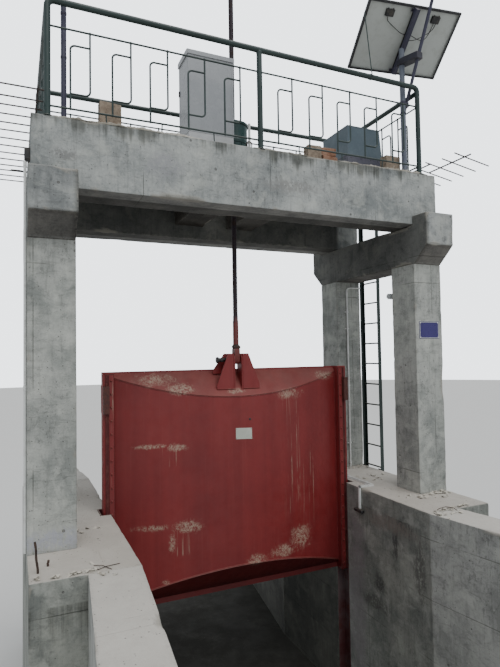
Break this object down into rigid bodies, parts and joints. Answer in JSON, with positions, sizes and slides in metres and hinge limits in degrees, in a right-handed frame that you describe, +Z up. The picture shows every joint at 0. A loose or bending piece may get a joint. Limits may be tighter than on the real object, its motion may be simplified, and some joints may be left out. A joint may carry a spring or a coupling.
{
  "type": "sluice gate",
  "caption": "Arched steel sluice gate hung on a screw in a concrete gate bay, under a portal frame with a railed hoist deck.",
  "frame": {"origin": "underside of the floor at the centre of the gate bay", "axes": "+X across the channel to the right, +Y along the channel to the back, +Z up"},
  "size_m": [5.7412, 8.321, 9.644],
  "materials": {
    "concrete": "cast concrete, weathered",
    "red_paint": "dark red paint, streaked",
    "hoist_green": "gloss green paint",
    "housing_blue": "blue-grey sheet",
    "cabinet_grey": "light grey sheet",
    "rail_green": "dark green paint",
    "ladder_green": "very dark green paint",
    "indigo_paint": "indigo grey paint",
    "panel_back": "grey back sheet in a dark frame",
    "black_plastic": "moulded",
    "white_plastic": "satin",
    "sign_blue": "gloss enamel",
    "rusty_steel": "rusted bar",
    "dark_steel": "dark greased steel",
    "bronze": "turned bronze",
    "cast_shoe": "worn cast shoes"
  },
  "bodies": {
    "structure": {"floor_slab": "concrete", "left_bay_wall": "concrete", "right_bay_wall": "concrete", "left_front_wing": "concrete", "right_front_wing": "concrete", "left_back_wing": "concrete", "right_back_wing": "concrete", "front_left_column": "concrete", "front_right_column": "concrete", "back_left_column": "concrete", "back_right_column": "concrete", "left_cap_beam": "concrete", "right_cap_beam": "concrete", "front_main_beam": "concrete", "back_main_beam": "concrete", "hoist_beams": "concrete", "deck_slabs": "concrete", "guide_rails": "red_paint", "hoist_base": "hoist_green", "hoist_body": "hoist_green", "sheet_housing": "housing_blue", "control_cabinet": "cabinet_grey", "front_railing": "rail_green", "back_railing": "rail_green", "left_side_railing": "rail_green", "right_side_railing": "rail_green", "ladder": "ladder_green", "solar_post": "indigo_paint", "leaning_mast": "indigo_paint", "left_pole": "indigo_paint", "solar_panel": "panel_back", "panel_boxes": "black_plastic", "panel_link_lead": "black_plastic", "panel_down_lead": "black_plastic", "camera": "white_plastic", "conduits": "white_plastic", "hoist_nut": "bronze", "sign_plate": "sign_blue", "starter_bars": "rusty_steel"},
    "gate": {"gate_skin": "red_paint", "gate_end_plates": "red_paint", "gate_side_posts": "red_paint", "gate_ribs": "red_paint", "gate_shoes": "cast_shoe", "lifting_bracket": "red_paint", "bracket_pin": "dark_steel", "hoist_screw": "dark_steel"}
  },
  "joints": [
    {"name": "gate_lift", "type": "slide", "parent": "structure", "child": "gate", "axis": [0, 0, 1], "range_m": [-1.66, 1]}
  ]
}
